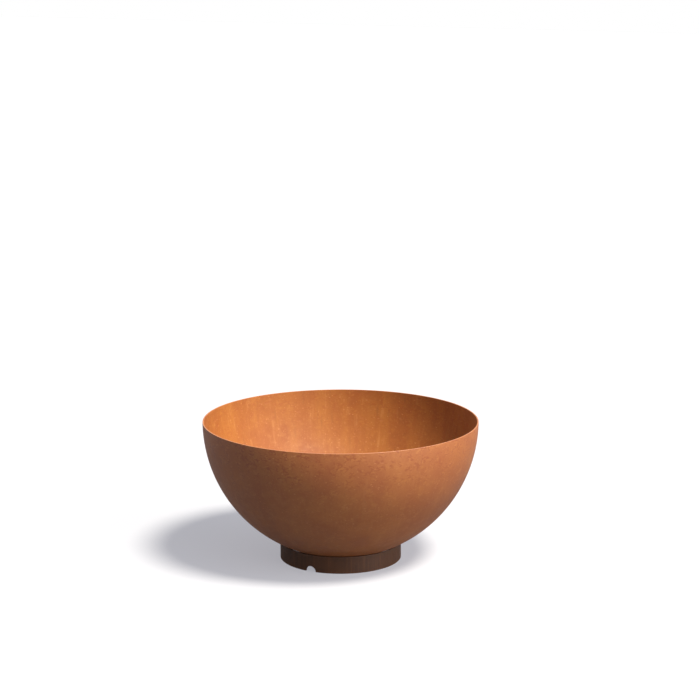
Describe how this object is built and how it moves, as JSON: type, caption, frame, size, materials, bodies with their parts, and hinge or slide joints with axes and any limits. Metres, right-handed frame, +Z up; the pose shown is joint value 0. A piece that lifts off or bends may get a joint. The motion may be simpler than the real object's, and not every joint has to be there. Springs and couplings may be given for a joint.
{
  "type": "fire pit with grate",
  "caption": "Hemispherical rusted-steel fire bowl resting in a low ring foot with a drain notch, with a lift-out round-bar log grate inside.",
  "frame": {"origin": "on the ground under the centre of the ring foot", "axes": "+Z up along the bowl's axis; -Y towards the foot's drain notch, which is the front; the grate's rods run along Y and its two handles stand at -X and +X"},
  "size_m": [0.8, 0.8, 0.411],
  "materials": {
    "bowl_rust": "weathering steel with a stable orange-brown rust, matt, finely mottled",
    "foot_rust": "weathering steel, dark brown, older rust with faint upright streaks",
    "grate_steel": "hot-rolled round bar with dark mill scale, rust starting at the welds"
  },
  "bodies": {
    "foot": {"foot_ring": "foot_rust"},
    "bowl": {"bowl_shell": "bowl_rust"},
    "grate": {"grate_ring": "grate_steel", "grate_crossbar_front": "grate_steel", "grate_crossbar_back": "grate_steel", "grate_rod_01": "grate_steel", "grate_rod_02": "grate_steel", "grate_rod_03": "grate_steel", "grate_rod_04": "grate_steel", "grate_rod_05": "grate_steel", "grate_rod_06": "grate_steel", "grate_rod_07": "grate_steel", "grate_rod_08": "grate_steel", "grate_rod_09": "grate_steel", "grate_rod_10": "grate_steel", "grate_rod_11": "grate_steel", "grate_rod_12": "grate_steel", "grate_rod_13": "grate_steel", "grate_rod_14": "grate_steel", "grate_rod_15": "grate_steel", "grate_rod_16": "grate_steel", "grate_rod_17": "grate_steel", "grate_handle_left": "grate_steel", "grate_handle_right": "grate_steel"}
  },
  "joints": [
    {"name": "bowl_lift", "type": "slide", "parent": "foot", "child": "bowl", "axis": [0, 0, 1], "range_m": [0, 0.12]},
    {"name": "grate_lift", "type": "slide", "parent": "bowl", "child": "grate", "axis": [0, 0, 1], "range_m": [0, 0.3]}
  ]
}
